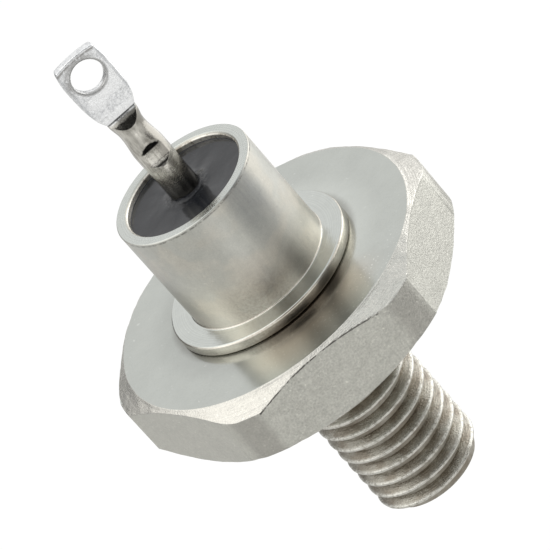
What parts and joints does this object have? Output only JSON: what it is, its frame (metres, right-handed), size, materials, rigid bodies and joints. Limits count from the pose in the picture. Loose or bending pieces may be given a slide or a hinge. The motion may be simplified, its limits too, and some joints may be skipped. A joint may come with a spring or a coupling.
{
  "type": "stud diode",
  "caption": "Stud rectifier diode: chamfered hexagon base with a screw stud, welded cap with a dark glass seal, and a crimped tube terminal flattened into a drilled blade.",
  "frame": {"origin": "on the stud's axis, in the plane of the seat under the hexagon", "axes": "+Z along the stud's axis, from the stud towards the terminal; the blade's broad face looks along -Y"},
  "size_m": [0.019, 0.0178, 0.0311],
  "materials": {
    "base_plating": "satin nickel plate, grainy on the flats",
    "cap_plating": "satin nickel plate",
    "seal_glass": "glossy opaque dark glass",
    "terminal_tin": "bright tin plate, scuffed",
    "lead_copper": "plain copper",
    "solder": "dull solder",
    "silicon": "polished silicon",
    "molybdenum": "matt molybdenum",
    "silicone": "soft silicone"
  },
  "bodies": {
    "root": {"stud_base": "base_plating", "cap": "cap_plating", "glass_seal": "seal_glass", "terminal": "terminal_tin", "inner_lead": "lead_copper", "upper_solder": "solder", "silicon_die": "silicon", "die_solder": "solder", "buffer_disc": "molybdenum", "lower_solder": "solder", "junction_coating": "silicone"}
  },
  "joints": []
}
